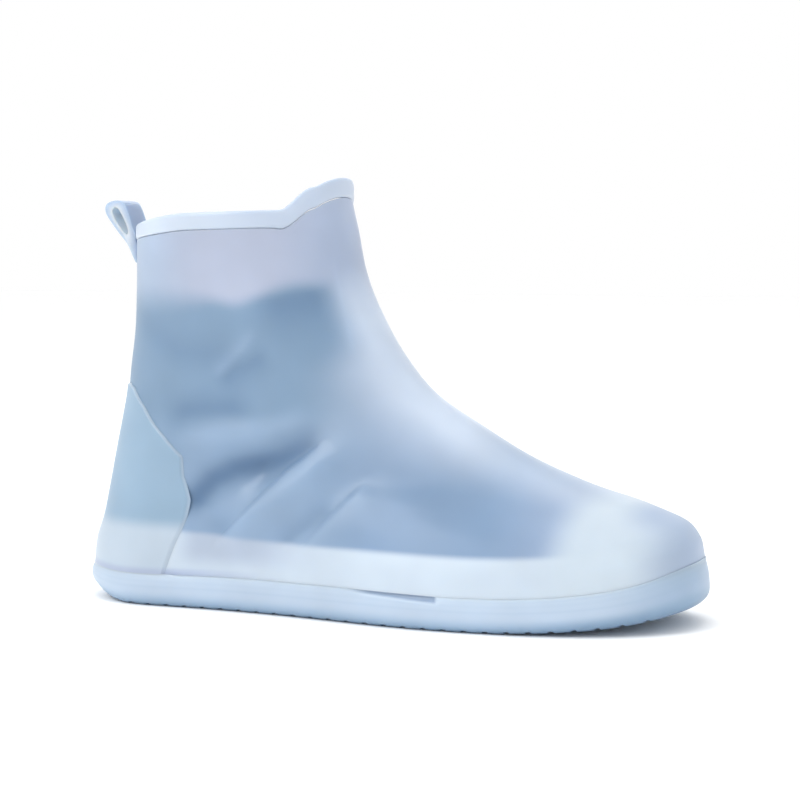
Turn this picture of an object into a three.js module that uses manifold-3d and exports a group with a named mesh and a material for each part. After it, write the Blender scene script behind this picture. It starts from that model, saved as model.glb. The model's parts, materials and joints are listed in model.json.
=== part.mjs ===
// Moulded rubber shoe cover for a right foot, in mm: +X toe, -X heel, -Y outer side, +Z up.
// The origin is under the middle of the sole. The cover is an empty hollow boot.
import * as THREE from 'three';
import { mergeVertices } from 'three/addons/utils/BufferGeometryUtils.js';
import Module from 'manifold-3d';

const wasm = await Module();
wasm.setup();
const { Manifold, Mesh: SolidMesh } = wasm;

// Driving sizes.
const LENGTH = 300; // heel to toe, over the sole
const BALL_WIDTH = 106; // over the sole at the ball of the foot
const TONGUE_HEIGHT = 199; // floor to the top of the front tongue
const HEEL_END = 0.2; // share of a ring's length where the heel's width ends
const BALL_START = 0.68; // share where the ball's width is reached
const WALL = 1.8; // upper shell wall
const CLEARANCE = 0.3; // gap left between neighbouring pieces
const AROUND = 76; // points around each ring
const SHELL_RINGS = 18; // rings from the cup floor to the collar

// Outsole.
const FLOOR = 5.2; // floor thickness, tread included
const LIP = 1.3; // thickness of the cup wall at its top edge
const BULGE = 2.2; // how far the side wall stands out past its top edge
const EDGE_ROUND = 6; // rounding between side wall and tread
const TREAD_PITCH = 9.5;
const TREAD_DEPTH = 2;
const GROOVE_ROOT = 2.6; // groove width at its root
const GROOVE_MOUTH = 3.8; // groove width at the tread face
const GROOVE_FIRST = 15; // first groove, from the heel end
const GROOVE_COUNT = 29;
const HEEL_TUCK = 2.6; // how far the sole's side leans in at the back of the heel
const HEEL_TUCK_END = 0.12; // share of the length where that lean has faded out
const TOE_SKEW = 5; // how far the toe end leans to the inner side
const SKEW_START = 0.45; // share of the length where that lean starts
const WAIST_OUTER = 0.04; // how much the sole narrows at the arch, outer side
const WAIST_INNER = 0.1; // the same, inner side
const WAIST_AT = 0.42; // share of the length where it is narrowest
const WAIST_SPREAD = 0.13; // how far that reaches, as a share of the length
const INNER_BLUNT = 0.25; // how much fuller the toe is on the inner side

// Collar, loop and heel panel.
const BAND_HEIGHT = 7; // thick rim, over the shell's top edge
const BAND_PROUD = 0.5; // band outside past the shell outside
const BAND_WALL = 3;
const BAND_ROUND = 1.4; // height of the band's rounded crest
const BAND_CHAMFER = 0.4; // the same where it starts to turn over
const SIDE_RISE = 6.5; // rise of the collar line from the heel to the sides
const SIDE_END = 0.42; // share of the collar length where that rise ends
const STEP_RISE = 10.3; // height of the S-shaped step up to the tongue
const STEP_START = 0.82; // share of the collar length where the step begins
const STEP_END = 0.945; // share of the collar length where the step ends
const TONGUE_RISE = 4.5; // further rise of the tongue from the step to its front
const LOOP_WIDTH = 16; // across the heel
const LOOP_REACH = 17.4; // how far the loop leans out behind the shell
const LOOP_RISE = 21; // how far it rises above the shell's rear edge
const PANEL_SEAT = 0.9; // panel off the shell's curved face, so that flat facets stay clear
const PANEL_WALL = 0.8;
const PANEL_COLUMNS = 22;
const PANEL_RINGS = 15;

// Folds of the soft wall.
const FOLD_DEPTH = 2.6; // deepest fold of the outer quarter
const CREASE_HEIGHT = 1.5; // ridge beside it
const FOLD_SIDE_START = 0.12; // folds start this far off the middle plane, of BALL_WIDTH
const FOLD_SIDE_END = 0.24; // and are complete here
const FOLD_FADE_LOW = 0.12; // height share where the folds reach their full depth
const FOLD_FADE_HIGH = 0.85; // height share where they start to fade again

const STEP_OF_SLOPE = 0.004; // parameter step that slopes are measured over

const clamp01 = (a) => Math.min(1, Math.max(0, a));
const mix = (a, b, k) => a + (b - a) * k;
const smooth = (a, from, to) => {
  const k = clamp01((a - from) / (to - from));
  return k * k * (3 - 2 * k);
};

// Catmull-Rom value of the table column `key` at position `at` of column `by`.
function curve(table, by, key, at) {
  let i = 0;
  while (i < table.length - 2 && table[i + 1][by] < at) i += 1;
  const p0 = table[Math.max(i - 1, 0)];
  const p1 = table[i];
  const p2 = table[i + 1];
  const p3 = table[Math.min(i + 2, table.length - 1)];
  const span = p2[by] - p1[by];
  const k = clamp01((at - p1[by]) / span);
  const m1 = ((p2[key] - p0[key]) / (p2[by] - p0[by] || 1)) * span;
  const m2 = ((p3[key] - p1[key]) / (p3[by] - p1[by] || 1)) * span;
  const k2 = k * k;
  const k3 = k2 * k;
  return (2 * k3 - 3 * k2 + 1) * p1[key] + (k3 - 2 * k2 + k) * m1
    + (3 * k2 - 2 * k3) * p2[key] + (k3 - k2) * m2;
}

// Side view of the sole: x as a share of LENGTH, heights as shares of TONGUE_HEIGHT.
const SOLE_LINE = [
  { x: 0, bottom: 0.0289, top: 0.081 },
  { x: 0.1, bottom: 0, top: 0.0743 },
  { x: 0.3, bottom: 0, top: 0.0791 },
  { x: 0.42, bottom: 0, top: 0.0791 },
  { x: 0.52, bottom: 0, top: 0.0791 },
  { x: 0.7, bottom: 0, top: 0.0772 },
  { x: 0.82, bottom: 0.0077, top: 0.0868 },
  { x: 0.92, bottom: 0.024, top: 0.1105 },
  { x: 1, bottom: 0.05, top: 0.1545 },
];
const soleShare = (key, x) => curve(SOLE_LINE, 'x', key, clamp01(x / LENGTH));
const soleBottom = (x) => TONGUE_HEIGHT * Math.max(0, soleShare('bottom', x));
const soleTop = (x) => TONGUE_HEIGHT * soleShare('top', x);

// Rings of the boot, seen from the side as a line from a rear point to a front point.
// rearX, frontX: shares of LENGTH. rearZ, frontZ: shares of TONGUE_HEIGHT.
// heel, outer, inner: half widths as shares of BALL_WIDTH. capR, capF: rounded ends, as
// shares of the ring's length. blunt: exponent of the front end. sag: how much the ring
// follows the sole line. step: how much it follows the collar's step.
const RINGS = [
  { t: 0, rearX: 0.004, rearZ: 0.0791, frontX: 0.9915, frontZ: 0.1545, heel: 0.335, outer: 0.49,
    inner: 0.455, capR: 0.15, capF: 0.3, blunt: 2.25, sag: 1, step: 0 },
  { t: 0.09, rearX: 0.009, rearZ: 0.1399, frontX: 0.984, frontZ: 0.2045, heel: 0.33, outer: 0.47,
    inner: 0.44, capR: 0.15, capF: 0.3, blunt: 2.3, sag: 0.85, step: 0 },
  { t: 0.17, rearX: 0.021, rearZ: 0.1978, frontX: 0.9625, frontZ: 0.2485, heel: 0.32, outer: 0.42,
    inner: 0.4, capR: 0.16, capF: 0.34, blunt: 2.2, sag: 0.6, step: 0 },
  { t: 0.25, rearX: 0.03, rearZ: 0.2586, frontX: 0.907, frontZ: 0.2856, heel: 0.312, outer: 0.352,
    inner: 0.345, capR: 0.17, capF: 0.4, blunt: 2.1, sag: 0.32, step: 0 },
  { t: 0.33, rearX: 0.038, rearZ: 0.3165, frontX: 0.824, frontZ: 0.3165, heel: 0.308, outer: 0.3,
    inner: 0.3, capR: 0.19, capF: 0.46, blunt: 2.05, sag: 0.12, step: 0 },
  { t: 0.41, rearX: 0.046, rearZ: 0.3744, frontX: 0.733, frontZ: 0.3647, heel: 0.306, outer: 0.285,
    inner: 0.29, capR: 0.22, capF: 0.5, blunt: 2, sag: 0, step: 0 },
  { t: 0.49, rearX: 0.054, rearZ: 0.4322, frontX: 0.652, frontZ: 0.4332, heel: 0.306, outer: 0.285,
    inner: 0.29, capR: 0.27, capF: 0.52, blunt: 2, sag: 0, step: 0 },
  { t: 0.57, rearX: 0.062, rearZ: 0.4921, frontX: 0.58, frontZ: 0.5007, heel: 0.31, outer: 0.296,
    inner: 0.3, capR: 0.33, capF: 0.52, blunt: 2, sag: 0, step: 0 },
  { t: 0.66, rearX: 0.068, rearZ: 0.5606, frontX: 0.527, frontZ: 0.5866, heel: 0.328, outer: 0.318,
    inner: 0.32, capR: 0.4, capF: 0.5, blunt: 2, sag: 0, step: 0 },
  { t: 0.75, rearX: 0.077, rearZ: 0.6426, frontX: 0.484, frontZ: 0.6898, heel: 0.352, outer: 0.345,
    inner: 0.345, capR: 0.45, capF: 0.5, blunt: 2.05, sag: 0, step: 0.05 },
  { t: 0.84, rearX: 0.081, rearZ: 0.7226, frontX: 0.456, frontZ: 0.7863, heel: 0.37, outer: 0.365,
    inner: 0.365, capR: 0.48, capF: 0.49, blunt: 2.1, sag: 0, step: 0.25 },
  { t: 0.93, rearX: 0.083, rearZ: 0.8018, frontX: 0.44, frontZ: 0.8954, heel: 0.38, outer: 0.376,
    inner: 0.376, capR: 0.5, capF: 0.49, blunt: 2.15, sag: 0, step: 0.65 },
  { t: 1, rearX: 0.084, rearZ: 0.8529, frontX: 0.43, frontZ: 0.9653, heel: 0.385, outer: 0.38,
    inner: 0.38, capR: 0.5, capF: 0.49, blunt: 2.2, sag: 0, step: 1 },
];

// Folds pressed into the wall, as soft lines in side view: x0, z0 to x1, z1 in shares of
// LENGTH and TONGUE_HEIGHT, width in mm, depth as a share of FOLD_DEPTH (negative: ridge).
const FOLDS = [
  { side: -1, x0: 0.25, z0: 0.2412, x1: 0.33, z1: 0.3184, width: 8, depth: 0.8 },
  { side: -1, x0: 0.33, z0: 0.3184, x1: 0.44, z1: 0.4052, width: 9, depth: 1 },
  { side: -1, x0: 0.3, z0: 0.1833, x1: 0.455, z1: 0.3859, width: 7, depth: -0.8 },
  { side: -1, x0: 0.38, z0: 0.1592, x1: 0.5, z1: 0.3184, width: 8, depth: 0.5 },
  { side: -1, x0: 0.26, z0: 0.5114, x1: 0.31, z1: 0.4728, width: 12, depth: 0.6 },
  { side: 1, x0: 0.27, z0: 0.2605, x1: 0.43, z1: 0.3956, width: 9, depth: 0.8 },
  { side: 1, x0: 0.33, z0: 0.193, x1: 0.47, z1: 0.357, width: 8, depth: -0.6 },
];

// Height of a fold line's relief at a point of the side view, in mm (outward is positive).
function foldRelief(x, z, y) {
  let relief = 0;
  for (const fold of FOLDS) {
    const ax = fold.x0 * LENGTH;
    const az = fold.z0 * TONGUE_HEIGHT;
    const dx = fold.x1 * LENGTH - ax;
    const dz = fold.z1 * TONGUE_HEIGHT - az;
    const along = clamp01(((x - ax) * dx + (z - az) * dz) / (dx * dx + dz * dz));
    const far = Math.hypot(x - ax - along * dx, z - az - along * dz) / fold.width;
    const size = fold.depth > 0 ? FOLD_DEPTH : CREASE_HEIGHT;
    const facing = smooth(y * fold.side, FOLD_SIDE_START * BALL_WIDTH, FOLD_SIDE_END * BALL_WIDTH);
    relief -= fold.depth * size * Math.exp(-far * far) * facing;
  }
  return relief;
}

// Half width of a ring at share v of its length, on side -1 (outer) or 1 (inner).
function halfWidth(ring, v, side) {
  const ball = side < 0 ? ring.outer : ring.inner;
  const body = mix(ring.heel, ball, smooth(v, HEEL_END, BALL_START));
  const rear = Math.sqrt(1 - (1 - clamp01(v / ring.capR)) ** 2);
  const blunt = ring.blunt + (side > 0 ? INNER_BLUNT : 0);
  const front = (1 - (1 - clamp01((1 - v) / ring.capF)) ** blunt) ** (1 / blunt);
  const waist = side < 0 ? WAIST_OUTER : WAIST_INNER;
  const narrow = 1 - ring.sag * waist * Math.exp(-(((v - WAIST_AT) / WAIST_SPREAD) ** 2));
  return BALL_WIDTH * body * rear * front * narrow;
}

// Row of RINGS at height share t, all columns interpolated.
function ringAt(t) {
  const row = {};
  for (const key of Object.keys(RINGS[0])) row[key] = curve(RINGS, 't', key, t);
  return row;
}

// Height of the collar line above the straight line of its ring.
function stepShape(v) {
  const side = SIDE_RISE * smooth(v, -SIDE_END / 2, SIDE_END);
  const step = STEP_RISE * smooth(v, STEP_START, STEP_END);
  const tongue = TONGUE_RISE * clamp01((v - STEP_END) / (1 - STEP_END));
  const start = SIDE_RISE * smooth(0, -SIDE_END / 2, SIDE_END);
  return side + step + tongue - mix(start, SIDE_RISE + STEP_RISE + TONGUE_RISE, v);
}

// Point of the boot's outer face, before any offset. t below 0 runs down into the cup.
function bootPoint(t, angle, relief = 1) {
  const low = clamp01(-t);
  const ring = ringAt(Math.max(t, 0));
  const v = (1 - Math.cos(angle)) / 2;
  const side = Math.sin(angle) < 0 ? -1 : 1;
  const x = LENGTH * mix(ring.rearX, ring.frontX, v);
  const chord = TONGUE_HEIGHT * mix(ring.rearZ, ring.frontZ, v);
  const base = TONGUE_HEIGHT * mix(RINGS[0].rearZ, RINGS[0].frontZ, v);
  const follow = ring.sag * (soleTop(x) - base) + ring.step * stepShape(v);
  const z = chord + follow - low * (soleTop(x) - soleBottom(x) - FLOOR - CLEARANCE);
  const flat = side * halfWidth(ring, v, side);
  const skew = TOE_SKEW * ring.sag * smooth(v, SKEW_START, 1);
  const fade = smooth(t, 0, FOLD_FADE_LOW) * (1 - smooth(t, FOLD_FADE_HIGH, 1)) * relief;
  const y = flat + side * fade * foldRelief(x, z, flat);
  return new THREE.Vector3(x, y + skew, z);
}

// Same point moved out along the face's normal by `out`.
function bootOffset(t, angle, out, relief = 1) {
  const d = STEP_OF_SLOPE;
  const top = Math.min(t + d, 1);
  const up = bootPoint(top, angle, relief).sub(bootPoint(top - 2 * d, angle, relief));
  const along = bootPoint(t, angle + d, relief).sub(bootPoint(t, angle - d, relief));
  const normal = up.cross(along).normalize();
  return bootPoint(t, angle, relief).addScaledVector(normal, out);
}

// Closed body from rings of equal length; the last ring joins the first one again.
function tube(rings) {
  const positions = [];
  const faces = [];
  const count = rings[0].length;
  for (const ring of rings) for (const p of ring) positions.push(p.x - LENGTH / 2, p.y, p.z);
  for (let i = 0; i < rings.length; i += 1) {
    const next = (i + 1) % rings.length;
    for (let j = 0; j < count; j += 1) {
      const k = (j + 1) % count;
      faces.push(i * count + j, i * count + k, next * count + k);
      faces.push(i * count + j, next * count + k, next * count + j);
    }
  }
  return closed(positions, faces);
}

function closed(positions, faces) {
  const geometry = new THREE.BufferGeometry();
  geometry.setAttribute('position', new THREE.Float32BufferAttribute(positions, 3));
  geometry.setIndex(faces);
  return outward(geometry);
}

// Turns the faces over if the volume comes out negative.
function outward(geometry) {
  const p = geometry.getAttribute('position');
  const faces = geometry.getIndex().array;
  const a = new THREE.Vector3();
  const b = new THREE.Vector3();
  const c = new THREE.Vector3();
  let volume = 0;
  for (let i = 0; i < faces.length; i += 3) {
    a.fromBufferAttribute(p, faces[i]);
    b.fromBufferAttribute(p, faces[i + 1]);
    c.fromBufferAttribute(p, faces[i + 2]);
    volume += a.dot(b.cross(c));
  }
  if (volume < 0) {
    for (let i = 0; i < faces.length; i += 3) {
      [faces[i + 1], faces[i + 2]] = [faces[i + 2], faces[i + 1]];
    }
  }
  geometry.computeVertexNormals();
  return geometry;
}

// Wall between an outer and an inner face, both given as rings from bottom to top.
function wallBody(outer, inner) {
  return tube([...outer, ...inner.reverse()]);
}

function angles(count) {
  return Array.from({ length: count }, (_, i) => ((i + 0.5) * 2 * Math.PI) / count);
}

// Upper shell.
function upperShell() {
  const levels = [-1];
  for (let i = 0; i <= SHELL_RINGS; i += 1) levels.push(i / SHELL_RINGS);
  const ring = (t, out) => angles(AROUND).map((a) => bootOffset(t, a, out));
  return wallBody(levels.map((t) => ring(t, 0)), levels.map((t) => ring(t, -WALL)));
}

// Collar band: butts on the shell's top edge, with a rounded crest.
function collarBand() {
  const edge = (rise, out) => angles(AROUND).map((a) => {
    const p = bootOffset(1, a, out, 0);
    p.z += CLEARANCE + rise;
    return p;
  });
  const inside = BAND_PROUD - BAND_WALL;
  const shoulder = BAND_HEIGHT - BAND_ROUND;
  const crown = BAND_HEIGHT - BAND_CHAMFER;
  return tube([
    edge(0, BAND_PROUD - BAND_CHAMFER),
    edge(2 * BAND_CHAMFER, BAND_PROUD),
    edge(shoulder, BAND_PROUD),
    edge(crown, BAND_PROUD - BAND_CHAMFER),
    edge(BAND_HEIGHT, BAND_PROUD - BAND_WALL / 2),
    edge(crown, inside + BAND_CHAMFER),
    edge(shoulder, inside),
    edge(0, inside),
  ]);
}

// Plan outline of the cup at an offset from the boot's lowest ring, at height z(x).
// The back of the heel moves forward by `tuck` mm.
function cupRing(out, height, tuck = 0) {
  const d = STEP_OF_SLOPE;
  return angles(AROUND).map((a) => {
    const along = bootPoint(0, a + d, 0).sub(bootPoint(0, a - d, 0)).setZ(0);
    const normal = new THREE.Vector3(-along.y, along.x, 0).normalize();
    const p = bootPoint(0, a, 0).addScaledVector(normal, out);
    p.x += tuck * (1 - smooth((1 - Math.cos(a)) / 2, 0, HEEL_TUCK_END));
    return p.setZ(height(p.x));
  });
}

// Outside of the sole from the tread up to the top edge. lip, bulge, round: shares of LIP,
// BULGE and EDGE_ROUND that make the offset. rise: height as a share of EDGE_ROUND. up: height
// as a share of the side's height, used instead of rise. tuck: share of HEEL_TUCK.
const SOLE_SIDE = [
  { lip: 1, bulge: 0.55, round: 1, rise: 0, up: 0, tuck: 1 },
  { lip: 1, bulge: 0.55, round: 0.4, rise: 0.2, up: 0, tuck: 1 },
  { lip: 1, bulge: 0.55, round: 0.08, rise: 0.62, up: 0, tuck: 0.9 },
  { lip: 1, bulge: 0.55, round: 0, rise: 0, up: 0.42, tuck: 1 },
  { lip: 1, bulge: 0.43, round: 0, rise: 0, up: 0.72, tuck: 0.55 },
  { lip: 1, bulge: 0.2, round: 0, rise: 0, up: 0.9, tuck: 0.35 },
  { lip: 1, bulge: 0, round: 0, rise: 0, up: 0.97, tuck: 0 },
  { lip: 0.6, bulge: 0, round: 0, rise: 0, up: 1, tuck: 0 },
];

function outsole() {
  const side = (k) => (x) => mix(soleBottom(x), soleTop(x), k);
  const above = (rise) => (x) => soleBottom(x) + rise;
  const outside = (row) => {
    const out = row.lip * LIP + row.bulge * BULGE - row.round * EDGE_ROUND;
    const height = row.up > 0 ? side(row.up) : above(row.rise * EDGE_ROUND);
    return cupRing(CLEARANCE + out, height, row.tuck * HEEL_TUCK);
  };
  const rings = SOLE_SIDE.map(outside);
  rings.push(cupRing(CLEARANCE, side(1)));
  rings.push(cupRing(CLEARANCE, above(FLOOR)));
  const positions = [];
  const faces = [];
  for (const ring of rings) for (const p of ring) positions.push(p.x - LENGTH / 2, p.y, p.z);
  for (let i = 0; i + 1 < rings.length; i += 1) {
    for (let j = 0; j < AROUND; j += 1) {
      const k = (j + 1) % AROUND;
      faces.push(i * AROUND + j, i * AROUND + k, (i + 1) * AROUND + k);
      faces.push(i * AROUND + j, (i + 1) * AROUND + k, (i + 1) * AROUND + j);
    }
  }
  // Tread face and floor: strips across, from the inner side to the outer side.
  const floorStart = (rings.length - 1) * AROUND;
  for (let j = 0; j < AROUND / 2 - 1; j += 1) {
    const m = AROUND - 1 - j;
    faces.push(j, m, j + 1, j + 1, m, m - 1);
    const f = floorStart;
    faces.push(f + j, f + j + 1, f + m, f + j + 1, f + m - 1, f + m);
  }
  const body = solid(closed(positions, faces));
  const cuts = [];
  for (let i = 0; i < GROOVE_COUNT; i += 1) cuts.push(groove(GROOVE_FIRST + i * TREAD_PITCH));
  return geometryOf(body.subtract(Manifold.union(cuts)));
}

// Cutter for one groove across the tread at x, turned to the sole's slope. It flares on below
// the tread by the groove's own depth.
function groove(x) {
  const reach = BALL_WIDTH;
  const mouth = 2 * GROOVE_MOUTH - GROOVE_ROOT;
  const section = [
    [-mouth / 2, -TREAD_DEPTH],
    [mouth / 2, -TREAD_DEPTH],
    [GROOVE_ROOT / 2, TREAD_DEPTH],
    [-GROOVE_ROOT / 2, TREAD_DEPTH],
  ];
  const slope = Math.atan2(soleBottom(x + 1) - soleBottom(x - 1), 2) * (180 / Math.PI);
  return Manifold.extrude([section], 2 * reach)
    .translate([0, 0, -reach])
    .rotate([90, 0, 0])
    .rotate([0, -slope, 0])
    .translate([x - LENGTH / 2, 0, soleBottom(x)]);
}

// Heel panel: a skin on the outside of the shell, symmetric about the heel.
// t: height share, reach: half length around, as a share of the half turn.
const PANEL = [
  { t: 0.012, reach: 0.276 },
  { t: 0.145, reach: 0.291 },
  { t: 0.242, reach: 0.309 },
  { t: 0.32, reach: 0.312 },
  { t: 0.385, reach: 0.316 },
  { t: 0.445, reach: 0.286 },
  { t: 0.532, reach: 0.233 },
  { t: 0.588, reach: 0.175 },
  { t: 0.602, reach: 0.14 },
];

// Straight-line value of the panel's reach at height share t: its corners stay crisp.
function panelReach(t) {
  let i = 0;
  while (i < PANEL.length - 2 && PANEL[i + 1].t < t) i += 1;
  const k = clamp01((t - PANEL[i].t) / (PANEL[i + 1].t - PANEL[i].t));
  return Math.PI * mix(PANEL[i].reach, PANEL[i + 1].reach, k);
}

function heelCounter() {
  const first = PANEL[0].t;
  const last = PANEL[PANEL.length - 1].t;
  const grid = (out) => Array.from({ length: PANEL_RINGS + 1 }, (_, i) => {
    const t = mix(first, last, i / PANEL_RINGS);
    const reach = panelReach(t);
    return Array.from({ length: PANEL_COLUMNS + 1 }, (__, j) => (
      bootOffset(t, mix(-reach, reach, j / PANEL_COLUMNS), out, 0)));
  });
  const low = grid(PANEL_SEAT);
  const high = grid(PANEL_SEAT + PANEL_WALL);
  const loops = low.map((row, i) => [...row, ...high[i].slice().reverse()]);
  const positions = [];
  const faces = [];
  const count = loops[0].length;
  for (const loop of loops) for (const p of loop) positions.push(p.x - LENGTH / 2, p.y, p.z);
  for (let i = 0; i + 1 < loops.length; i += 1) {
    for (let j = 0; j < count; j += 1) {
      const k = (j + 1) % count;
      faces.push(i * count + j, i * count + k, (i + 1) * count + k);
      faces.push(i * count + j, (i + 1) * count + k, (i + 1) * count + j);
    }
  }
  const end = (loops.length - 1) * count;
  for (let j = 0; j < PANEL_COLUMNS; j += 1) {
    const m = count - 1 - j;
    faces.push(j, m, j + 1, j + 1, m, m - 1);
    faces.push(end + j, end + j + 1, end + m, end + j + 1, end + m - 1, end + m);
  }
  return closed(positions, faces);
}

// Pull loop, in side view, from the shell's rear top corner.
// x: shares of LOOP_REACH, z: shares of LOOP_RISE.
const LOOP_OUTLINE = [
  { x: -0.052, z: -0.524 },
  { x: -0.115, z: -0.381 },
  { x: -0.299, z: -0.038 },
  { x: -0.517, z: 0.152 },
  { x: -0.77, z: 0.41 },
  { x: -0.954, z: 0.638 },
  { x: -1, z: 0.81 },
  { x: -0.897, z: 0.962 },
  { x: -0.644, z: 1 },
  { x: -0.425, z: 0.886 },
  { x: -0.264, z: 0.6 },
  { x: -0.138, z: 0.31 },
  { x: -0.052, z: 0.143 },
];
const LOOP_SLIT = [
  { x: -0.345, z: 0.152 },
  { x: -0.494, z: 0.286 },
  { x: -0.701, z: 0.524 },
  { x: -0.782, z: 0.705 },
  { x: -0.713, z: 0.8 },
  { x: -0.586, z: 0.771 },
  { x: -0.437, z: 0.581 },
  { x: -0.299, z: 0.333 },
  { x: -0.276, z: 0.2 },
];

function pullLoop() {
  const originX = RINGS[RINGS.length - 1].rearX * LENGTH - LENGTH / 2;
  const originZ = RINGS[RINGS.length - 1].rearZ * TONGUE_HEIGHT;
  const corners = (table) => table.map((p) => [p.x * LOOP_REACH, p.z * LOOP_RISE]).reverse();
  const slab = (table, width) => (
    Manifold.extrude([corners(table)], width).translate([0, 0, -width / 2]));
  const body = slab(LOOP_OUTLINE, LOOP_WIDTH).subtract(slab(LOOP_SLIT, 2 * LOOP_WIDTH));
  return geometryOf(body.rotate([90, 0, 0]).translate([originX, 0, originZ]));
}

function solid(geometry) {
  const bare = geometry.clone();
  bare.deleteAttribute('normal');
  bare.deleteAttribute('uv');
  const merged = mergeVertices(bare, 1e-5);
  return Manifold.ofMesh(new SolidMesh({
    numProp: 3,
    vertProperties: new Float32Array(merged.getAttribute('position').array),
    triVerts: new Uint32Array(merged.getIndex().array),
  }));
}

function geometryOf(body) {
  const mesh = body.getMesh();
  const geometry = new THREE.BufferGeometry();
  geometry.setAttribute('position', new THREE.Float32BufferAttribute(mesh.vertProperties, 3));
  geometry.setIndex(Array.from(mesh.triVerts));
  geometry.computeVertexNormals();
  return geometry;
}

const group = new THREE.Group();
group.name = 'shoe_cover';

function add(name, geometry, colour) {
  const material = new THREE.MeshStandardMaterial({ color: colour, roughness: 0.5 });
  const mesh = new THREE.Mesh(geometry, material);
  mesh.name = name;
  group.add(mesh);
}

add('outsole', outsole(), 0xcadcec);
add('upper_shell', upperShell(), 0x8eabc9);
add('collar_band', collarBand(), 0xd6e3f1);
add('pull_loop', pullLoop(), 0xc4d3e9);
add('heel_counter', heelCounter(), 0xabc5de);

// Puts the origin under the middle of the whole cover.
const bounds = new THREE.Box3().setFromObject(group);
const middle = bounds.getCenter(new THREE.Vector3());
for (const mesh of group.children) mesh.geometry.translate(-middle.x, -middle.y, -bounds.min.z);

export default group;
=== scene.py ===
"""The looks of one moulded rubber shoe cover, for a right foot.

The cover is an empty hollow boot of frosted, blue-tinted rubber. All sizes are in the row
frame: +X toe, -Y outer side, +Z up. Tables hold shares of the named sizes, and lengths in the
tables' comments are millimetres.
"""

import json
import logging
import math
from dataclasses import dataclass, field
from enum import Enum
from typing import Callable, Dict, List, Sequence, Tuple

import bpy
import numpy as np
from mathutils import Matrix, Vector

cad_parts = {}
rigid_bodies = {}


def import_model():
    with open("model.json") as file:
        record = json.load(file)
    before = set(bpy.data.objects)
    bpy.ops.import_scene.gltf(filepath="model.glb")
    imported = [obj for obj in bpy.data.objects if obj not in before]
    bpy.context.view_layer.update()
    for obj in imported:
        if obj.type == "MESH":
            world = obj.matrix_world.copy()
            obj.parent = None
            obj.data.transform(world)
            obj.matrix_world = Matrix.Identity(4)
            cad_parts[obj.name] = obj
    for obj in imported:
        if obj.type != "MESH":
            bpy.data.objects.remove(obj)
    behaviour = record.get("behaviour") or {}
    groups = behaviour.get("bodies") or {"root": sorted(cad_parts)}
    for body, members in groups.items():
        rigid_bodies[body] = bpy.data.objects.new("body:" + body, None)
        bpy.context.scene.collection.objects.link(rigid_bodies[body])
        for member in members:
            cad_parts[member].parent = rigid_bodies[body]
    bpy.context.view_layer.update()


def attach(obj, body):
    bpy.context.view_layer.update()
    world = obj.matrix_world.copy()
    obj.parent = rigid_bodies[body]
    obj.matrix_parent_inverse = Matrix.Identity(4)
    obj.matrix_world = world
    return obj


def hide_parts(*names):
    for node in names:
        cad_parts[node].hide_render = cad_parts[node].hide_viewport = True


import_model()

logging.basicConfig(level=logging.INFO, format="%(message)s")
LOG = logging.getLogger("shoe_cover")

MM = 0.001
# Step in t, or in radians, for measuring the slope of the boot's face.
SLOPE_STEP = 0.003
Array = np.ndarray


class Side(Enum):
    """The two sides of the cover: the sign of Y."""

    OUTER = -1
    INNER = 1


# Small helpers


def smooth(value: Array, start: float, end: float) -> Array:
    """Smooth step from 0 at start to 1 at end.

    Args:
        value: Values to map.
        start: Value that gives 0.
        end: Value that gives 1.

    Returns:
        The mapped values.
    """
    k = np.clip((np.asarray(value, float) - start) / (end - start), 0.0, 1.0)
    return k * k * (3.0 - 2.0 * k)


def mix(low: Array, high: Array, share: Array) -> Array:
    """Linear mix, from low at share 0 to high at share 1."""
    return low + (high - low) * share


def spline(at: Array, where: Sequence[float], values: Sequence[float]) -> Array:
    """Catmull-Rom curve through table values.

    Args:
        at: Positions to read.
        where: The table's positions, rising.
        values: The table's values.

    Returns:
        The curve's values at the positions.
    """
    at = np.asarray(at, float)
    w = np.asarray(where, float)
    v = np.asarray(values, float)
    i = np.clip(np.searchsorted(w, at, side="left") - 1, 0, len(w) - 2)
    before = np.maximum(i - 1, 0)
    after = np.minimum(i + 2, len(w) - 1)
    span = w[i + 1] - w[i]
    k = np.clip((at - w[i]) / span, 0.0, 1.0)
    m1 = (v[i + 1] - v[before]) / (w[i + 1] - w[before]) * span
    m2 = (v[after] - v[i]) / (w[after] - w[i]) * span
    k2, k3 = k * k, k * k * k
    from_start = (2 * k3 - 3 * k2 + 1) * v[i] + (k3 - 2 * k2 + k) * m1
    return from_start + (3 * k2 - 2 * k3) * v[i + 1] + (k3 - k2) * m2


def linear_colour(text: str) -> Tuple[float, float, float]:
    """Scene-linear colour of an sRGB hex code.

    Args:
        text: Six hex digits.

    Returns:
        Red, green and blue, 0 to 1.
    """
    channels = [int(text[i : i + 2], 16) / 255 for i in (0, 2, 4)]
    return tuple(c / 12.92 if c <= 0.04045 else ((c + 0.055) / 1.055) ** 2.4 for c in channels)


# The shape


@dataclass(frozen=True)
class Sizes:
    """Driving sizes of the cover, in mm. Starts and ends are shares of a ring or of its width."""

    length: float = 300.0
    ball_width: float = 106.0
    tongue_height: float = 199.0
    wall: float = 1.8
    gap: float = 0.3
    floor: float = 5.2
    side_rise: float = 6.5
    side_end: float = 0.42
    step_rise: float = 10.3
    step_start: float = 0.82
    step_end: float = 0.945
    tongue_rise: float = 4.5
    toe_skew: float = 5.0
    fold_depth: float = 2.6
    crease_height: float = 1.5
    fold_side_start: float = 0.12
    fold_side_end: float = 0.24
    rim_drop: float = 1.0
    step_drop: float = 2.4
    shift_x: float = -149.9093
    shift_y: float = -0.3585


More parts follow.
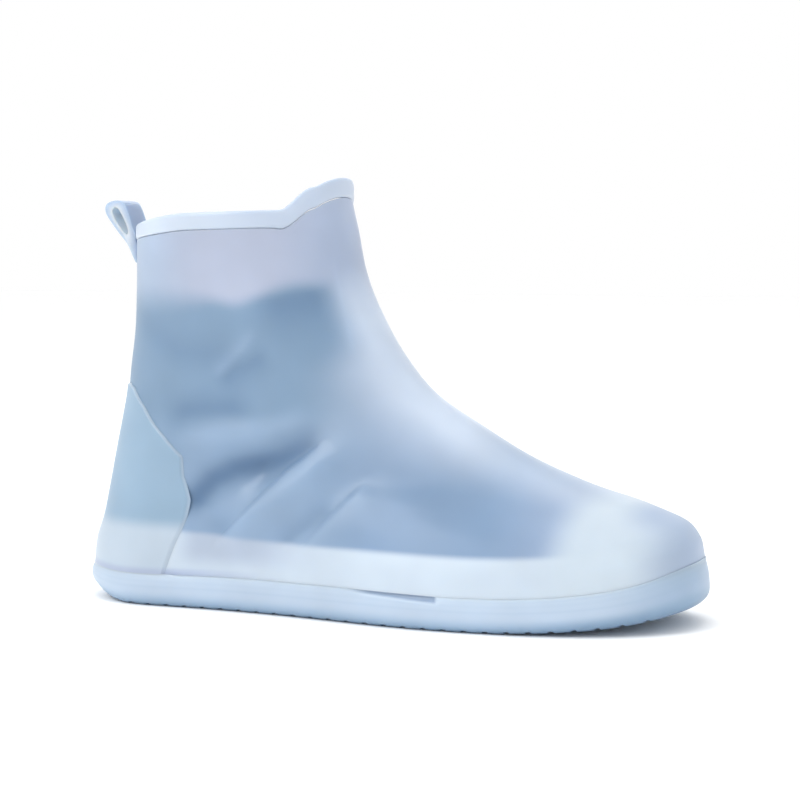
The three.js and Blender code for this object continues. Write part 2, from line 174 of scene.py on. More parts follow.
@dataclass(frozen=True)
class Ring:
    """One ring of the boot, as a line from a rear point to a front point in side view."""

    t: float
    rear_x: float
    rear_z: float
    front_x: float
    front_z: float
    heel: float
    outer: float
    inner: float
    cap_rear: float
    cap_front: float
    blunt: float
    sag: float
    step: float


@dataclass(frozen=True)
class SolePoint:
    """Heights of the sole at a share of the length."""

    x: float
    bottom: float
    top: float


@dataclass(frozen=True)
class Fold:
    """A soft line pressed into the wall: ends in side view, width and depth."""

    side: Side
    x0: float
    z0: float
    x1: float
    z1: float
    width: float
    depth: float


SOLE_LINE = [
    SolePoint(0, 0.0289, 0.081),
    SolePoint(0.1, 0, 0.0743),
    SolePoint(0.3, 0, 0.0791),
    SolePoint(0.42, 0, 0.0791),
    SolePoint(0.52, 0, 0.0791),
    SolePoint(0.7, 0, 0.0772),
    SolePoint(0.82, 0.0077, 0.0868),
    SolePoint(0.92, 0.024, 0.1105),
    SolePoint(1, 0.05, 0.1545),
]

RINGS = [
    Ring(0, 0.004, 0.0791, 0.9915, 0.1545, 0.335, 0.49, 0.455, 0.15, 0.3, 2.25, 1, 0),
    Ring(0.09, 0.009, 0.1399, 0.984, 0.2045, 0.33, 0.47, 0.44, 0.15, 0.3, 2.3, 0.85, 0),
    Ring(0.17, 0.021, 0.1978, 0.9625, 0.2485, 0.32, 0.42, 0.4, 0.16, 0.34, 2.2, 0.6, 0),
    Ring(0.25, 0.03, 0.2586, 0.907, 0.2856, 0.312, 0.352, 0.345, 0.17, 0.4, 2.1, 0.32, 0),
    Ring(0.33, 0.038, 0.3165, 0.824, 0.3165, 0.308, 0.3, 0.3, 0.19, 0.46, 2.05, 0.12, 0),
    Ring(0.41, 0.046, 0.3744, 0.733, 0.3647, 0.306, 0.285, 0.29, 0.22, 0.5, 2, 0, 0),
    Ring(0.49, 0.054, 0.4322, 0.652, 0.4332, 0.306, 0.285, 0.29, 0.27, 0.52, 2, 0, 0),
    Ring(0.57, 0.062, 0.4921, 0.58, 0.5007, 0.31, 0.296, 0.3, 0.33, 0.52, 2, 0, 0),
    Ring(0.66, 0.068, 0.5606, 0.527, 0.5866, 0.328, 0.318, 0.32, 0.4, 0.5, 2, 0, 0),
    Ring(0.75, 0.077, 0.6426, 0.484, 0.6898, 0.352, 0.345, 0.345, 0.45, 0.5, 2.05, 0, 0.05),
    Ring(0.84, 0.081, 0.7226, 0.456, 0.7863, 0.37, 0.365, 0.365, 0.48, 0.49, 2.1, 0, 0.25),
    Ring(0.93, 0.083, 0.8018, 0.44, 0.8954, 0.38, 0.376, 0.376, 0.5, 0.49, 2.15, 0, 0.65),
    Ring(1, 0.084, 0.8529, 0.43, 0.9653, 0.385, 0.38, 0.38, 0.5, 0.49, 2.2, 0, 1),
]

FOLDS = [
    Fold(Side.OUTER, 0.25, 0.2412, 0.33, 0.3184, 8, 0.8),
    Fold(Side.OUTER, 0.33, 0.3184, 0.44, 0.4052, 9, 1),
    Fold(Side.OUTER, 0.3, 0.1833, 0.455, 0.3859, 7, -0.8),
    Fold(Side.OUTER, 0.38, 0.1592, 0.5, 0.3184, 8, 0.5),
    Fold(Side.OUTER, 0.26, 0.5114, 0.31, 0.4728, 12, 0.6),
    Fold(Side.INNER, 0.27, 0.2605, 0.43, 0.3956, 9, 0.8),
    Fold(Side.INNER, 0.33, 0.193, 0.47, 0.357, 8, -0.6),
]


@dataclass(frozen=True)
class Crease:
    """A finer fold that runs along a bent line in side view.

    The points are mm from the heel and from the floor. The fold falls off over `above` mm on
    its upper side and over `below` mm on its lower side, so one of them can be crisp. Depth is
    mm inward. Shade is the share of the painted shade tone, or of the painted highlight tone
    where it is negative.
    """

    side: Side
    points: Tuple[Tuple[float, float], ...]
    above: float
    below: float
    depth: float
    shade: float
    fade: float

    def closeness(self, x: Array, z: Array) -> Array:
        """How close points are to the fold: 1 on its line, 0 far away.

        Args:
            x: Distances from the heel, in mm.
            z: Heights, in mm.

        Returns:
            The closeness of each point.
        """
        best = np.full(np.shape(x), 1e6)
        over = np.zeros(np.shape(x), bool)
        at = np.zeros(np.shape(x))
        run = 0.0
        for (ax, az), (bx, bz) in zip(self.points[:-1], self.points[1:]):
            dx, dz = bx - ax, bz - az
            length = math.hypot(dx, dz)
            k = np.clip(((x - ax) * dx + (z - az) * dz) / length**2, 0, 1)
            ox, oz = x - ax - k * dx, z - az - k * dz
            far = np.hypot(ox, oz)
            nearer = far < best
            best = np.where(nearer, far, best)
            over = np.where(nearer, dx * oz - dz * ox > 0, over)
            at = np.where(nearer, run + k * length, at)
            run += length
        soft = np.where(over, self.above, self.below)
        ends = smooth(at, 0, self.fade) * (1 - smooth(at, run - self.fade, run))
        return np.exp(-((best / soft) ** 2)) * ends


OUTER_CREASES = [
    # The long fold of the outer quarter: a soft hollow with a crisp ridge under it.
    (((60, 40), (68, 52), (76, 60), (87, 65.5), (99, 67.5), (111, 70.5), (122, 76), (133, 84)),
     6.5, 6.5, 1.4, 1.0, 14),
    (((66, 42), (78, 39), (94, 37)), 6, 5, 0.3, 0.3, 12),
    (((76, 27), (88, 39), (94, 45), (103, 55), (112, 64), (121, 71), (133, 82)), 0.9, 11, -1.5, -0.55, 12),
    (((122, 65), (134, 68.5), (150, 69)), 7, 7, 0.6, 0.12, 10),
    # The shorter one in front of it.
    (((110, 29), (120, 37), (128, 42.5), (138, 51)), 5.5, 2.5, 0.7, 0.3, 8),
    (((118, 26), (127, 34), (135, 43.5), (144, 53), (154, 63)), 0.9, 8, -0.9, -0.4, 9),
    # Hollows and bands over the long fold.
    (((48, 87), (64, 92), (80, 93.5), (100, 94)), 6.5, 7, 1.1, 0.5, 16),
    (((54, 77), (72, 80), (90, 82), (112, 87), (128, 93)), 5, 5, -0.8, -0.55, 16),
    (((76, 102), (86, 109), (96, 114.5), (108, 121)), 3, 7, 0.7, 0.42, 10),
    (((76, 106), (86, 116), (94, 122), (101, 132)), 4, 2.2, -0.6, -0.4, 9),
    (((34, 138), (46, 128), (61, 119), (78, 117), (94, 121)), 8, 7, 0.6, 0.3, 14),
    # The front of the shaft.
    (((94, 140), (112, 142), (126, 145), (140, 150)), 5, 13, 0.5, 0.55, 18),
    (((130.5, 176), (133, 154), (136, 143), (141, 124), (145, 110)), 7, 1.2, -0.7, -0.45, 14),
]

INNER_CREASES = [
    # The inner side, which the photograph hides, folds at the same places.
    (((64, 46), (84, 60), (108, 68), (130, 77)), 8, 5, 1.1, 0.55, 16),
    (((86, 38), (104, 54), (122, 68), (136, 80)), 1.2, 10, -1.1, -0.35, 12),
    (((56, 90), (78, 94), (102, 93)), 7, 7, 0.9, 0.45, 16),
    (((94, 140), (112, 142), (126, 145), (140, 150)), 5, 13, 0.4, 0.4, 18),
]

CREASES = [Crease(Side.OUTER, *row) for row in OUTER_CREASES]
CREASES += [Crease(Side.INNER, *row) for row in INNER_CREASES]


def crowded(share: Array, start: float, end: float, gain: float) -> Array:
    """Spreads shares so that they crowd together between start and end.

    Args:
        share: Even shares, 0 to 1.
        start: Where the crowd starts.
        end: Where it ends.
        gain: How much denser it is there.

    Returns:
        The spread shares, still 0 to 1.
    """
    at = np.linspace(0, 1, 2001)
    density = 1 + gain * smooth(at, start - 0.06, start) * (1 - smooth(at, end, end + 0.06))
    total = np.concatenate([[0], np.cumsum((density[1:] + density[:-1]) / 2)])
    return np.interp(share, total / total[-1], at)


@dataclass(frozen=True)
class BootForm:
    """The boot's face as a function of height share t and turn angle."""

    sizes: Sizes = Sizes()

    def column(self, name: str, t: Array) -> Array:
        """One column of the ring table at height share t."""
        return spline(t, [ring.t for ring in RINGS], [getattr(ring, name) for ring in RINGS])

    def sole(self, name: str, x: Array) -> Array:
        """Height of the sole's bottom or top line, in mm, at x mm from the heel."""
        share = np.clip(np.asarray(x, float) / self.sizes.length, 0, 1)
        height = spline(share, [p.x for p in SOLE_LINE], [getattr(p, name) for p in SOLE_LINE])
        return self.sizes.tongue_height * np.maximum(height, 0)

    def half_width(self, t: Array, v: Array, side: Array) -> Array:
        """Half width, in mm, at share v of a ring's length, on the given side."""
        ball = np.where(side < 0, self.column("outer", t), self.column("inner", t))
        body = mix(self.column("heel", t), ball, smooth(v, 0.2, 0.68))
        rear = np.sqrt(np.maximum(0, 1 - (1 - np.clip(v / self.column("cap_rear", t), 0, 1)) ** 2))
        blunt = self.column("blunt", t) + np.where(side > 0, 0.25, 0)
        tip = np.clip((1 - v) / self.column("cap_front", t), 0, 1)
        front = np.maximum(0, 1 - (1 - tip) ** blunt) ** (1 / blunt)
        waist = np.where(side < 0, 0.02, 0.05)
        narrow = 1 - self.column("sag", t) * waist * np.exp(-(((v - 0.42) / 0.13) ** 2)) * 2
        return self.sizes.ball_width * body * rear * front * narrow

    def folds(self, x: Array, z: Array, y: Array) -> Array:
        """Relief of fold lines, in mm, positive outward."""
        s = self.sizes
        relief = np.zeros_like(x)
        for fold in FOLDS:
            ax, az = fold.x0 * s.length, fold.z0 * s.tongue_height
            dx, dz = fold.x1 * s.length - ax, fold.z1 * s.tongue_height - az
            along = np.clip(((x - ax) * dx + (z - az) * dz) / (dx * dx + dz * dz), 0, 1)
            far = np.hypot(x - ax - along * dx, z - az - along * dz) / fold.width
            size = s.fold_depth if fold.depth > 0 else s.crease_height
            start, end = s.fold_side_start * s.ball_width, s.fold_side_end * s.ball_width
            facing = smooth(y * fold.side.value, start, end)
            relief = relief - fold.depth * size * np.exp(-far * far) * facing
        return relief

    def rim_drop(self, v: Array) -> Array:
        """How far, in mm, the rim's lower edge hangs below its straight butt on the shell."""
        s = self.sizes
        flat = s.rim_drop * smooth(v, 0.04, 0.3)
        middle, half = mix(s.step_start, s.step_end, 0.6), (s.step_end - s.step_start) / 2
        return flat * (1 + smooth(v, 0.9, 1)) + s.step_drop * np.exp(-(((v - middle) / half) ** 2))

    def creases(self, x: Array, z: Array, y: Array) -> Array:
        """Relief of the finer folds, in mm, positive outward."""
        relief = np.zeros_like(x)
        for crease in CREASES:
            facing = smooth(y * crease.side.value, 6, 16)
            relief = relief - crease.depth * crease.closeness(x, z) * facing
        return relief

    def collar_line(self, v: Array) -> Array:
        """Height of the collar line above its ring's straight line, in mm."""
        s = self.sizes
        side = s.side_rise * smooth(v, -s.side_end / 2, s.side_end)
        step = s.step_rise * smooth(v, s.step_start, s.step_end)
        tongue = s.tongue_rise * np.clip((v - s.step_end) / (1 - s.step_end), 0, 1)
        start = s.side_rise * smooth(np.zeros(1), -s.side_end / 2, s.side_end)[0]
        return side + step + tongue - mix(start, s.side_rise + s.step_rise + s.tongue_rise, v)

    def point(self, t: Array, angle: Array, relief: float = 1.0) -> Array:
        """Points of the outer face in mm, heel at x 0.

        Args:
            t: Height shares, 0 at the sole's top line and 1 at the collar.
            angle: Turn angles, 0 at the heel and pi at the toe.
            relief: Share of the folds' relief.

        Returns:
            An array of points with a last axis of 3.
        """
        s = self.sizes
        t, angle = np.broadcast_arrays(np.asarray(t, float), np.asarray(angle, float))
        low = np.clip(-t, 0, 1)
        level = np.maximum(t, 0)
        v = (1 - np.cos(angle)) / 2
        side = np.where(np.sin(angle) < 0, -1.0, 1.0)
        x = s.length * mix(self.column("rear_x", level), self.column("front_x", level), v)
        chord = s.tongue_height * mix(self.column("rear_z", level), self.column("front_z", level), v)
        base = s.tongue_height * mix(RINGS[0].rear_z, RINGS[0].front_z, v)
        sag = self.column("sag", level)
        z = chord + sag * (self.sole("top", x) - base) + self.column("step", level) * self.collar_line(v)
        z = z - low * (self.sole("top", x) - self.sole("bottom", x) - (s.floor + s.gap))
        z = z - self.rim_drop(v) * smooth(t, 0.9, 1)
        flat = side * self.half_width(level, v, side)
        skew = s.toe_skew * sag * smooth(v, 0.45, 1)
        fade = smooth(t, 0, 0.12) * (1 - smooth(t, 0.85, 1)) * relief
        y = flat + side * fade * (self.folds(x, z, flat) + self.creases(x, z, flat))
        return np.stack([x, y + skew, z], -1)

    def offset(self, t: Array, angle: Array, out: Array, relief: float = 1.0) -> Array:
        """Points moved out along the face's normal by `out` mm."""
        d = SLOPE_STEP
        t, angle = np.broadcast_arrays(np.asarray(t, float), np.asarray(angle, float))
        top = np.minimum(t + d, 1)
        up = self.point(top, angle, relief) - self.point(top - 2 * d, angle, relief)
        along = self.point(t, angle + d, relief) - self.point(t, angle - d, relief)
        normal = np.cross(up, along)
        normal /= np.maximum(np.linalg.norm(normal, axis=-1, keepdims=True), 1e-9)
        return self.point(t, angle, relief) + normal * np.asarray(out)[..., None]

    def place(self, points: Array) -> Array:
        """Moves points from the heel-based frame, in mm, to the row frame, in metres."""
        moved = np.array(points, float)
        moved[..., 0] += self.sizes.shift_x
        moved[..., 1] += self.sizes.shift_y
        return moved * MM


# Mesh building


def select_only(*items: bpy.types.Object) -> None:
    """Selects these objects alone, or nothing, and makes the first one active."""
    for item in list(bpy.context.selected_objects):
        item.select_set(False)
    for item in items:
        item.select_set(True)
    bpy.context.view_layer.objects.active = items[0] if items else None


def join(items: Sequence[bpy.types.Object]) -> bpy.types.Object:
    """Joins mesh objects into the first of them."""
    select_only(*items)
    bpy.ops.object.join()
    return bpy.context.active_object


def read_points(item: bpy.types.Object) -> Array:
    """Vertex places of a mesh object."""
    values = np.empty(len(item.data.vertices) * 3, np.float32)
    item.data.vertices.foreach_get("co", values)
    return values.reshape(-1, 3).astype(float)


def write_points(item: bpy.types.Object, points: Array) -> None:
    """Sets the vertex places of a mesh object."""
    item.data.vertices.foreach_set("co", np.asarray(points, np.float32).ravel())
    item.data.update()


def grid_piece(
    name: str, columns: int, rows: int, shape: Callable[[Array, Array], Array]
) -> bpy.types.Object:
    """A grid primitive whose vertices are carried onto a surface.

    Args:
        name: The piece's name.
        columns: Faces along u.
        rows: Faces along v.
        shape: Gives points, in metres, for u and v between 0 and 1.

    Returns:
        The new object.
    """
    select_only()
    bpy.ops.mesh.primitive_grid_add(x_subdivisions=columns, y_subdivisions=rows, size=1.0, location=(0, 0, 0))
    item = bpy.context.active_object
    item.name = item.data.name = name
    flat = read_points(item)
    write_points(item, shape(flat[:, 0] + 0.5, flat[:, 1] + 0.5))
    return item


def weld(item: bpy.types.Object, distance: float = 0.00002) -> None:
    """Merges doubled vertices and points all faces outward, in edit mode."""
    select_only(item)
    bpy.ops.object.mode_set(mode="EDIT")
    bpy.ops.mesh.select_all(action="SELECT")
    bpy.ops.mesh.remove_doubles(threshold=distance)
    bpy.ops.mesh.dissolve_degenerate(threshold=distance / 4)
    bpy.ops.mesh.normals_make_consistent(inside=False)
    bpy.ops.object.mode_set(mode="OBJECT")


def apply_modifier(item: bpy.types.Object, kind: str, **settings: object) -> None:
    """Adds a modifier, sets it and applies it.

    Args:
        item: The object.
        kind: The modifier's type.
        **settings: Attributes of the modifier.
    """
    select_only(item)
    modifier = item.modifiers.new(kind.title(), kind)
    for key, value in settings.items():
        setattr(modifier, key, value)
    bpy.ops.object.modifier_apply(modifier=modifier.name)


def shade(item: bpy.types.Object, degrees: float = 40.0) -> None:
    """Smooth shading that keeps edges sharper than the angle."""
    select_only(item)
    bpy.ops.object.shade_smooth_by_angle(angle=math.radians(degrees))


def write_tint(item: bpy.types.Object, colours: Array) -> None:
    """Stores a colour per vertex as the attribute that the rubber reads.

    Args:
        item: The object.
        colours: Scene-linear colours, one row per vertex.
    """
    layer = item.data.color_attributes.new("tint", "FLOAT_COLOR", "POINT")
    full = np.ones((len(colours), 4), np.float32)
    full[:, :3] = colours
    layer.data.foreach_set("color", full.ravel())


# Finishes


def add_node(
    tree: bpy.types.NodeTree, kind: str, inputs: Dict[object, object], **settings: object
) -> bpy.types.Node:
    """Adds a node, sets its settings and fills or links its inputs.

    Args:
        tree: The node tree.
        kind: Node type.
        inputs: Socket name or number, to a value or to another node's output.
        **settings: Attributes of the node.

    Returns:
        The node.
    """
    node = tree.nodes.new(kind)
    for key, value in settings.items():
        setattr(node, key, value)
    for key, value in inputs.items():
        if isinstance(value, bpy.types.NodeSocket):
            tree.links.new(value, node.inputs[key])
        else:
            node.inputs[key].default_value = value
    return node


@dataclass(frozen=True)
class FrostedRubber:
    """Injection-moulded, blue-tinted thermoplastic rubber with a fine spark-eroded frost."""

    name: str
    roughness: float = 0.42
    transmission: float = 0.22
    subsurface: float = 0.35
    depth_mm: float = 3.0
    coat: float = 0.12
    frost_mm: float = 0.45
    frost_height_mm: float = 0.02
    cloud_mm: float = 38.0
    cloud_amount: float = 0.06

    def build(self) -> bpy.types.Material:
        """Makes the material."""
        material = bpy.data.materials.new(self.name)
        material.use_nodes = True
        tree = material.node_tree
        tree.nodes.clear()
        place = add_node(tree, "ShaderNodeTexCoord", {}).outputs["Object"]
        tint = add_node(tree, "ShaderNodeAttribute", {}, attribute_name="tint").outputs["Color"]
        # Faint clouding of the tint: uneven wall thickness from the mould.
        scale = 1.0 / (self.cloud_mm * MM)
        cloud = add_node(
            tree, "ShaderNodeTexNoise", {"Vector": place, "Scale": scale, "Detail": 2.0, "Roughness": 0.5}
        )
        low, high = 1.0 - self.cloud_amount, 1.0 + self.cloud_amount
        limits = {"From Min": 0.3, "From Max": 0.7, "To Min": low, "To Max": high}
        level = add_node(tree, "ShaderNodeMapRange", {"Value": cloud.outputs["Fac"], **limits})
        factors = {0: tint, 1: level.outputs["Result"]}
        colour = add_node(tree, "ShaderNodeVectorMath", factors, operation="MULTIPLY")
        # Frost: the fine pitting that a spark-eroded mould leaves.
        scale = 1.0 / (self.frost_mm * MM)
        grain = add_node(
            tree, "ShaderNodeTexNoise", {"Vector": place, "Scale": scale, "Detail": 3.0, "Roughness": 0.55}
        )
        relief = {"Strength": 0.35, "Distance": self.frost_height_mm * MM}
        bump = add_node(tree, "ShaderNodeBump", {"Height": grain.outputs["Fac"], **relief})
        shader = add_node(
            tree,
            "ShaderNodeBsdfPrincipled",
            {
                "Base Color": colour.outputs["Vector"],
                "Normal": bump.outputs["Normal"],
                "Roughness": self.roughness,
                "IOR": 1.47,
                "Transmission Weight": self.transmission,
                "Subsurface Weight": self.subsurface,
                "Subsurface Radius": (0.7, 0.85, 1.0),
                "Subsurface Scale": self.depth_mm * MM,
                "Coat Weight": self.coat,
                "Coat Roughness": 0.28,
            },
        )
        add_node(tree, "ShaderNodeOutputMaterial", {"Surface": shader.outputs["BSDF"]})
        return material


def floor_paint() -> bpy.types.Material:
    """White matt paint of the studio floor."""
    material = bpy.data.materials.new("matt floor paint")
    material.use_nodes = True
    shader = material.node_tree.nodes["Principled BSDF"]
    shader.inputs["Base Color"].default_value = (*linear_colour("FFFFFF"), 1.0)
    shader.inputs["Roughness"].default_value = 0.8
    return material


# Light on an upright face of the cover, per channel, as a share of the picture's white.
STUDIO_LEVEL = (1.34, 1.29, 1.27)


class Tone(Enum):
    """Colours of the rubber where it is thin, thick or folded, and the painted shade and painted highlights
    on it.
    """

    COLLAR_REAR = "C2D2E9"
    COLLAR_SIDE = "C9CFE3"
    COLLAR_FRONT = "BECBE4"
    BODY = "8FACC9"
    BODY_LOW = "A0BAD8"
    BODY_DEEP_AND_SHADE = "6789AF"
    BODY_HIGHLIGHT = "AFC7E3"
    VAMP = "8CA9CB"
    VAMP_FRONT = "ACC1E0"
    INSTEP = "DEE9FB"
    TOE = "E6F1FC"
    TOE_TOP = "C1D1EB"
    TOE_EDGE = "BBCDE9"
    RAND = "E6F1FE"
    RAND_SHADE = "C5D0E4"
    PANEL = "A2BFDC"
    PANEL_DARK_PATCH = "9AB7D3"
    PANEL_LOW = "D2E2F6"
    PANEL_EDGE_HIGHLIGHT = "C6D6EB"
    RIM = "DEE7F5"
    RIM_FRONT = "D5DFF0"
    LOOP = "B3C5E2"
    LOOP_SLOT_PAINTED_LIGHT = "F4F8FF"
    SOLE = "C9D7E9"
    SOLE_TOE = "AFC4DD"
    SOLE_SHADE_AND_STREAK = "A2BCD6"
    SOLE_UNDER_SHADE = "86A3C0"
    LINE = "BAC7E8"
    WEDGE_SHADE = "8DA5C9"

    @property
    def linear(self) -> Array:
        """The tone, scene-linear: the code is how it looks in the studio's light."""
        return np.array(linear_colour(self.value)) / np.array(STUDIO_LEVEL)

    def over(self, count: int) -> Array:
        """This colour for a number of vertices."""
        return np.repeat(self.linear[None], count, 0)


def tone_mix(base: Array, tone: Tone, share: Array) -> Array:
    """Mixes a tone over colours by a share per vertex."""
    return mix(base, tone.linear, np.asarray(share)[:, None])


@dataclass(frozen=True)
class BodyTint:
    """Where the rubber of the upper is pale, deep or milky, and where shade and highlights are painted on it.
    """

    form: BootForm

    def colours(self, x: Array, y: Array, z: Array) -> Array:
        """Colours of the upper.

        Args:
            x: Distances from the heel, in mm.
            y: Distances from the middle plane, in mm, negative on the outer side.
            z: Heights, in mm.

        Returns:
            Scene-linear colours.
        """
        above = z - self.form.sole("top", x)
        colour = Tone.BODY.over(len(x))
        # The lower quarter and the vamp are lighter than the ankle.
        colour = tone_mix(colour, Tone.BODY_LOW, 1 - smooth(z, 60, 100))
        colour = tone_mix(colour, Tone.VAMP, smooth(x, 120, 165))
        colour = tone_mix(colour, Tone.VAMP_FRONT, smooth(x, 208, 248))
        # Folds: painted shade where the wall sinks in, painted highlight where it stands out.
        for crease in CREASES:
            facing = smooth(y * crease.side.value, 4, 16)
            tone = Tone.BODY_DEEP_AND_SHADE if crease.shade > 0 else Tone.BODY_HIGHLIGHT
            colour = tone_mix(colour, tone, abs(crease.shade) * crease.closeness(x, z) * facing)
        # The middle of the heel is a little deeper: the wall is thicker there.
        heel = (1 - smooth(np.abs(y), 3, 20)) * (1 - smooth(x, 30, 60))
        colour = tone_mix(colour, Tone.BODY_DEEP_AND_SHADE, 0.3 * heel)
        # The ridge of the instep is pale.
        width = mix(35.0, 31.0, smooth(x, 150, 220)) - 7.0 * smooth(z, 108, 128)
        ridge = 1 - smooth(np.abs(y), 0.42 * width, 0.95 * width)
        pale = mix(1.0, 0.56, smooth(x, 188, 222)) * ridge
        colour = tone_mix(colour, Tone.INSTEP, pale * smooth(x, 108, 140))
        # Collar zone: thin, pale and slightly lilac, with an edge that is soft at the back.
        collar = Tone.COLLAR_REAR.over(len(x))
        collar = tone_mix(collar, Tone.COLLAR_SIDE, smooth(x, 36, 78))
        collar = tone_mix(collar, Tone.COLLAR_FRONT, smooth(x, 104, 136))
        edge = 143.5 - 2.0 * np.exp(-(((x - 90) / 8) ** 2)) + 7.0 * smooth(x, 92, 120)
        soft = mix(9.0, 4.5, smooth(x, 56, 84)) + 14.0 * smooth(x, 128, 142)
        colour = mix(colour, collar, smooth((z - edge) / soft, -1, 1)[:, None])
        # Milky rand above the sole and milky toe, where the wall is thick.
        top = 21.0 - 4.0 * smooth(x, 40, 124)
        rand = 1 - smooth(above, top - 1.8, top + 1.8)
        pale = Tone.RAND.over(len(x))
        shaded = smooth(x, 55, 70) * (1 - smooth(x, 96, 140)) * smooth(above, 1, 12)
        pale = tone_mix(pale, Tone.RAND_SHADE, 0.8 * shaded)
        colour = mix(colour, pale, rand[:, None])
        toe = smooth(x + 0.25 * np.abs(y), 244, 262)
        milk = Tone.TOE.over(len(x))
        front, crown = smooth(x, 262, 282) * smooth(z, 41, 52), smooth(x, 222, 246) * smooth(z, 52, 63)
        milk = tone_mix(milk, Tone.TOE_TOP, np.maximum(front, 0.75 * crown))
        milk = tone_mix(milk, Tone.TOE_EDGE, smooth(x, 270, 299))
        colour = mix(colour, milk, (toe * 0.95)[:, None])
        return self.seam(colour, x, above)

    def seam(self, colour: Array, x: Array, above: Array) -> Array:
        """Painted shadow, lilac, in the gap at the seam over the sole, which fades out from the heel forward.
        """
        share = (1 - smooth(above, 1.2, 4.2)) * (1 - smooth(x, 40, 125))
        return tone_mix(colour, Tone.LINE, 0.85 * share)


# Pieces


@dataclass
class CoverPiece:
    """A named piece of the cover."""

    form: BootForm
    tint: BodyTint
    node: str = ""
    objects: List[bpy.types.Object] = field(default_factory=list)

    def register(self, item: bpy.types.Object, material: bpy.types.Material) -> None:
        """Gives a piece its material and its place in the frame.

        Args:
            item: The object.
            material: Its material.
        """
        item.data.materials.clear()
        item.data.materials.append(material)
        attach(item, "root")
        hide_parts(self.node)
        self.objects.append(item)
        LOG.info("%s: %d faces", item.name, len(item.data.polygons))

    def heel_based(self, item: bpy.types.Object) -> Array:
        """Vertex places in mm, with the heel at x 0."""
        s = self.form.sizes
        points = read_points(item) / MM
        points[:, 0] -= s.shift_x
        points[:, 1] -= s.shift_y
        return points

    def body_colours(self, item: bpy.types.Object) -> Array:
        """Colours of the upper's rubber at each vertex."""
        p = self.heel_based(item)
        return self.tint.colours(p[:, 0], p[:, 1], p[:, 2])


@dataclass
class UpperShell(CoverPiece):
    """The hollow boot: a thin wall from the cup floor to the collar."""

    node: str = "upper_shell"
    columns: int = 300
    rows: int = 150

    def build(self, material: bpy.types.Material) -> None:
        """Builds and dresses the shell."""

        def shape(u: Array, v: Array) -> Array:
            level = crowded(v, 0.16, 0.62, 0.8)
            t = np.where(level < 0.06, level / 0.06 - 1, (level - 0.06) / 0.94)
            return self.form.place(self.form.point(t, 2 * np.pi * crowded(u, 0.7, 0.88, 2.2)))

        item = grid_piece("upper_shell_skin", self.columns, self.rows, shape)
        weld(item)
        wall = self.form.sizes.wall * MM
        apply_modifier(item, "SOLIDIFY", thickness=wall, offset=-1.0, use_even_offset=False)
        shade(item, 60)
        write_tint(item, self.body_colours(item))
        self.register(item, material)


@dataclass
class CollarBand(CoverPiece):
    """The thick rim, swept along the collar line."""

    node: str = "collar_band"
    height: float = 7.0
    wall: float = 3.0
    proud: float = 0.5
    squareness: float = 3.6
    around: int = 360
    section: int = 28

    def build(self, material: bpy.types.Material) -> None:
        """Builds and dresses the band."""
        select_only()
        bpy.ops.mesh.primitive_torus_add(
            major_segments=self.around, minor_segments=self.section, major_radius=1.0, minor_radius=0.25
        )
        item = bpy.context.active_object
        item.name = item.data.name = "collar_band_rim"
        p = read_points(item)
        turn = np.arctan2(p[:, 1], p[:, 0])
        roll = np.arctan2(p[:, 2], np.hypot(p[:, 0], p[:, 1]) - 1.0)
        # A rounded oblong section: superellipse from the wall's middle.
        c, s = np.cos(roll), np.sin(roll)
        power = 2 / self.squareness
        across = np.sign(c) * np.abs(c) ** power * self.wall / 2
        rise = np.sign(s) * np.abs(s) ** power / 2
        middle = self.proud - self.wall / 2
        points = self.form.offset(np.ones_like(turn), turn, middle + across, 0.0)
        tall = self.height + self.form.rim_drop((1 - np.cos(turn)) / 2)
        points[:, 2] += self.form.sizes.gap + tall / 2 + rise * tall
        write_points(item, self.form.place(points))
        weld(item)
        shade(item, 50)
        colours = Tone.RIM.over(len(item.data.vertices))
        write_tint(item, tone_mix(colours, Tone.RIM_FRONT, smooth(self.heel_based(item)[:, 0], 60, 112)))
        self.register(item, material)


